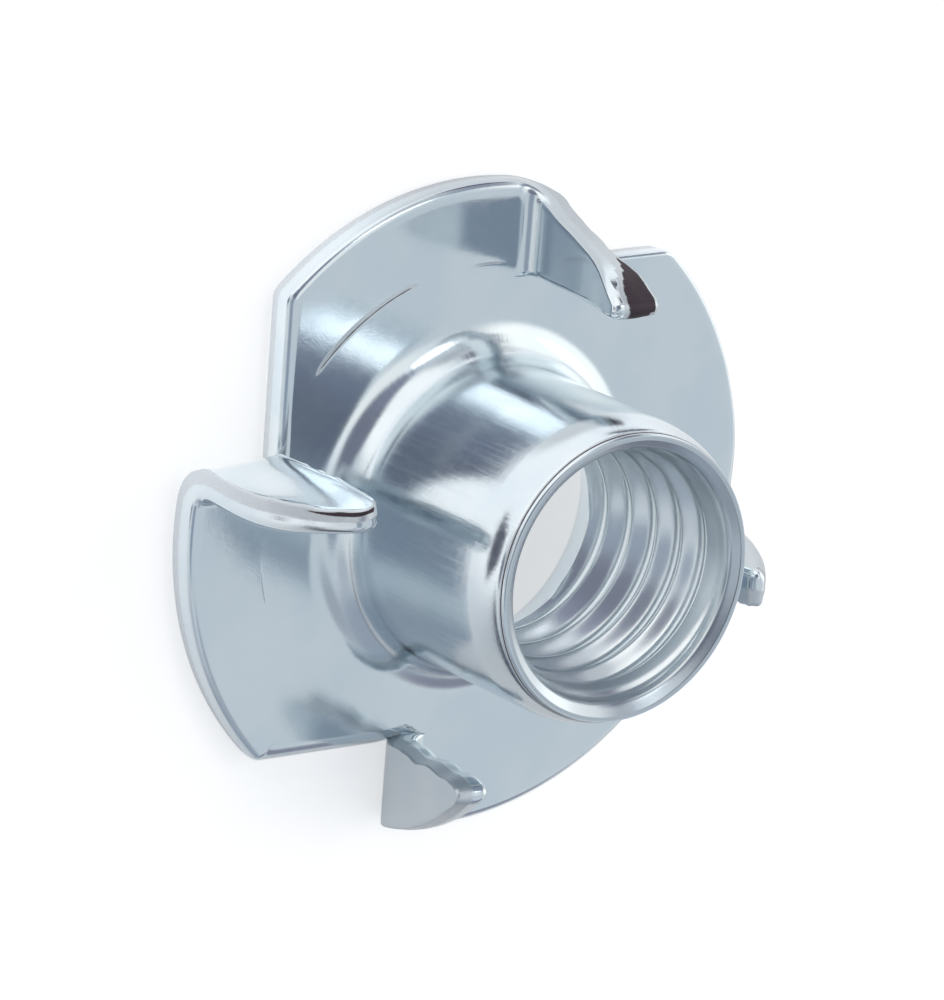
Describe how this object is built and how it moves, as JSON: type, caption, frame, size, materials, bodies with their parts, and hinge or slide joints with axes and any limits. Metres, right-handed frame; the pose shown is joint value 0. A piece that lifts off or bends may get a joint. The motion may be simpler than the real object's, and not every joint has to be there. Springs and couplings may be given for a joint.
{
  "type": "tee nut",
  "caption": "Pronged tee nut: a threaded barrel drawn up from a round sheet flange, with its slit corners folded up as pointed prongs that bite into wood.",
  "frame": {"origin": "centre of the flange's back face, on the thread's axis", "axes": "+Z along the thread's axis, from the flange towards the lip of the barrel; +X and +Y square to the four prongs' flat faces"},
  "size_m": [0.022, 0.022, 0.0098],
  "materials": {
    "zinc_plate": "bright zinc plate with a pale blue cast over pressed steel"
  },
  "bodies": {
    "root": {"tee_nut": "zinc_plate"}
  },
  "joints": []
}
